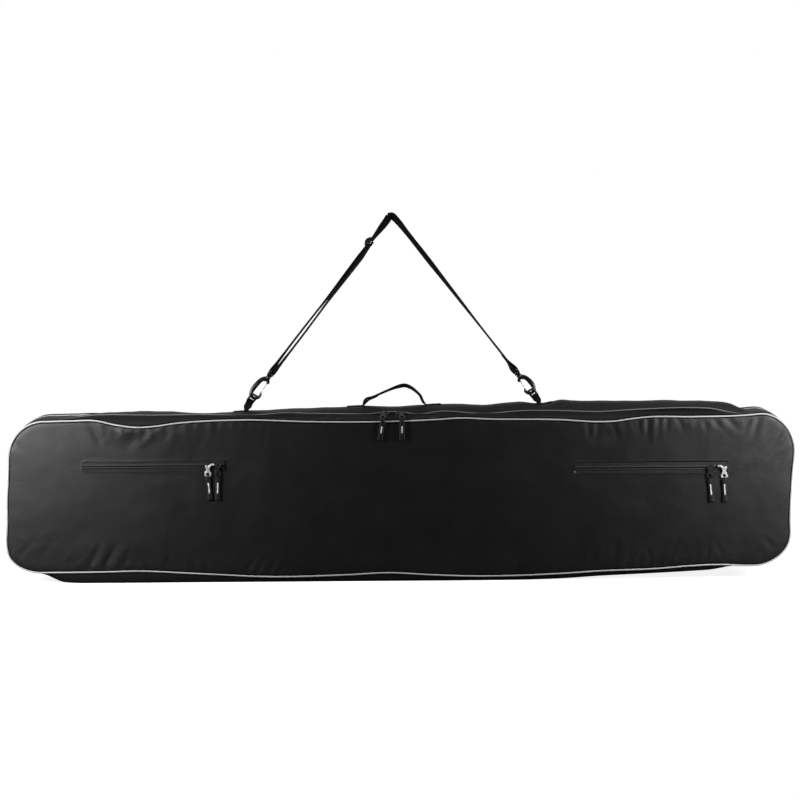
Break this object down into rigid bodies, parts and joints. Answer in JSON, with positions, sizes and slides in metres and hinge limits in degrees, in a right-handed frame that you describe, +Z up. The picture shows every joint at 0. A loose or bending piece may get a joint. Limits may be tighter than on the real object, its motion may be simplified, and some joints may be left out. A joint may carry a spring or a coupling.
{
  "type": "snowboard bag",
  "caption": "Padded black snowboard bag with piped edges, zip-open front panel, zipped pockets, carry handle and a clip-on shoulder strap.",
  "frame": {"origin": "on the ground under the middle of the bag", "axes": "+X along the bag to the right of the front panel, +Y from front to back, +Z up"},
  "size_m": [1.65, 0.1587, 0.7655],
  "materials": {
    "cover_fabric": "woven polyester with a soft sheen",
    "foam": "closed-cell foam sheet",
    "lining": "plain nylon lining",
    "piping": "grey coated piping",
    "zip_tape": "woven zip tape",
    "zip_coil": "black nylon coil",
    "webbing": "black woven webbing",
    "black_enamel": "black enamel on zinc",
    "nickel_plate": "bright nickel plate on zinc",
    "grip_rubber": "moulded soft rubber",
    "hook_plastic": "glossy moulded acetal",
    "gate_wire": "bright steel wire"
  },
  "bodies": {
    "bag": {"back_panel": "cover_fabric", "back_padding": "foam", "back_lining": "lining", "back_piping": "piping", "base_gusset": "cover_fabric", "left_base_corner": "cover_fabric", "right_base_corner": "cover_fabric", "top_gusset": "cover_fabric", "left_end_gusset": "cover_fabric", "right_end_gusset": "cover_fabric", "rear_zip_tape": "zip_tape", "rear_zip_coil": "zip_coil", "handle_sewn_ends": "webbing", "strap_tab_feet": "webbing"},
    "lid": {"front_panel": "cover_fabric", "front_padding": "foam", "front_lining": "lining", "front_piping": "piping", "front_gusset": "cover_fabric", "front_zip_tape": "zip_tape", "front_zip_coil": "zip_coil", "left_pocket_tapes": "zip_tape", "right_pocket_tapes": "zip_tape", "left_pocket_coils": "zip_coil", "right_pocket_coils": "zip_coil", "left_pocket_bag": "lining", "right_pocket_bag": "lining"},
    "main_slider_left": {"main_slider_left": "black_enamel"},
    "main_pull_left": {"main_tab_left": "black_enamel", "main_grip_left": "grip_rubber"},
    "main_slider_right": {"main_slider_right": "black_enamel"},
    "main_pull_right": {"main_tab_right": "black_enamel", "main_grip_right": "grip_rubber"},
    "left_pocket_slider_a": {"left_pocket_slider_a": "nickel_plate"},
    "left_pocket_pull_a": {"left_pocket_tab_a": "nickel_plate", "left_pocket_grip_a": "grip_rubber"},
    "left_pocket_slider_b": {"left_pocket_slider_b": "black_enamel"},
    "left_pocket_pull_b": {"left_pocket_tab_b": "black_enamel", "left_pocket_grip_b": "grip_rubber"},
    "right_pocket_slider_a": {"right_pocket_slider_a": "black_enamel"},
    "right_pocket_pull_a": {"right_pocket_tab_a": "black_enamel", "right_pocket_grip_a": "grip_rubber"},
    "right_pocket_slider_b": {"right_pocket_slider_b": "nickel_plate"},
    "right_pocket_pull_b": {"right_pocket_tab_b": "nickel_plate", "right_pocket_grip_b": "grip_rubber"},
    "handle": {"carry_handle": "webbing"},
    "strap": {"left_strap_tab": "webbing", "right_strap_tab": "webbing", "left_ring": "black_enamel", "right_ring": "black_enamel", "left_swivel_eye": "hook_plastic", "right_swivel_eye": "hook_plastic", "strap_left_leg": "webbing", "strap_right_leg": "webbing"},
    "left_hook": {"left_hook": "hook_plastic"},
    "left_gate": {"left_gate": "gate_wire"},
    "right_hook": {"right_hook": "hook_plastic"},
    "right_gate": {"right_gate": "gate_wire"},
    "strap_adjuster": {"strap_adjuster": "hook_plastic"}
  },
  "joints": [
    {"name": "lid_fold", "type": "hinge", "parent": "bag", "child": "lid", "pos_m": [0, -0.073, 0.022], "axis": [1, 0, 0], "range_deg": [0, 90]},
    {"name": "main_slide_left", "type": "slide", "parent": "lid", "child": "main_slider_left", "axis": [-1, 0, 0], "range_m": [0, 0.59]},
    {"name": "main_slide_right", "type": "slide", "parent": "lid", "child": "main_slider_right", "axis": [1, 0, 0], "range_m": [0, 0.62]},
    {"name": "main_flip_left", "type": "hinge", "parent": "main_slider_left", "child": "main_pull_left", "pos_m": [-0.0335, -0.05533, 0.35518], "axis": [-1, 0, 0], "range_deg": [0, 120]},
    {"name": "main_flip_right", "type": "hinge", "parent": "main_slider_right", "child": "main_pull_right", "pos_m": [-0.0025, -0.05533, 0.35518], "axis": [-1, 0, 0], "range_deg": [0, 120]},
    {"name": "left_pocket_slide_a", "type": "slide", "parent": "lid", "child": "left_pocket_slider_a", "axis": [-1, 0, 0], "range_m": [0, 0.25]},
    {"name": "left_pocket_slide_b", "type": "slide", "parent": "lid", "child": "left_pocket_slider_b", "axis": [1, 0, 0], "range_m": [0, 0.0025]},
    {"name": "right_pocket_slide_a", "type": "slide", "parent": "lid", "child": "right_pocket_slider_a", "axis": [-1, 0, 0], "range_m": [0, 0.27]},
    {"name": "right_pocket_slide_b", "type": "slide", "parent": "lid", "child": "right_pocket_slider_b", "axis": [1, 0, 0], "range_m": [0, 0.0025]},
    {"name": "left_pocket_flip_a", "type": "hinge", "parent": "left_pocket_slider_a", "child": "left_pocket_pull_a", "pos_m": [-0.401, -0.0794, 0.247], "axis": [-1, 0, 0], "range_deg": [0, 150]},
    {"name": "left_pocket_flip_b", "type": "hinge", "parent": "left_pocket_slider_b", "child": "left_pocket_pull_b", "pos_m": [-0.38, -0.0794, 0.247], "axis": [-1, 0, 0], "range_deg": [0, 150]},
    {"name": "right_pocket_flip_a", "type": "hinge", "parent": "right_pocket_slider_a", "child": "right_pocket_pull_a", "pos_m": [0.651, -0.0794, 0.236], "axis": [-1, 0, 0], "range_deg": [0, 150]},
    {"name": "right_pocket_flip_b", "type": "hinge", "parent": "right_pocket_slider_b", "child": "right_pocket_pull_b", "pos_m": [0.672, -0.0794, 0.236], "axis": [-1, 0, 0], "range_deg": [0, 150]},
    {"name": "handle_swing", "type": "hinge", "parent": "bag", "child": "handle", "pos_m": [-0.0145, 0, 0.3807], "axis": [1, 0, 0], "range_deg": [-80, 80]},
    {"name": "strap_swing", "type": "hinge", "parent": "bag", "child": "strap", "pos_m": [-0.015, 0, 0.3807], "axis": [1, 0, 0], "range_deg": [-60, 60]},
    {"name": "left_hook_swivel", "type": "hinge", "parent": "strap", "child": "left_hook", "pos_m": [-0.311, 0, 0.3877], "axis": [0.6145, 0, 0.7889], "range_deg": [-25, 25]},
    {"name": "right_hook_swivel", "type": "hinge", "parent": "strap", "child": "right_hook", "pos_m": [0.281, 0, 0.3877], "axis": [-0.6145, 0, 0.7889], "range_deg": [-25, 25]},
    {"name": "left_gate_press", "type": "hinge", "parent": "left_hook", "child": "left_gate", "pos_m": [-0.28257, 0, 0.41525], "axis": [0, 1, 0], "range_deg": [0, 30], "stiffness_Nm_per_rad": 0.02, "springref_deg": -11.46},
    {"name": "right_gate_press", "type": "hinge", "parent": "right_hook", "child": "right_gate", "pos_m": [0.25257, 0, 0.41525], "axis": [0, -1, 0], "range_deg": [0, 30], "stiffness_Nm_per_rad": 0.02, "springref_deg": -11.46},
    {"name": "adjuster_slide", "type": "slide", "parent": "strap", "child": "strap_adjuster", "axis": [-0.6145, 0, -0.7889], "range_m": [0, 0.25]}
  ]
}
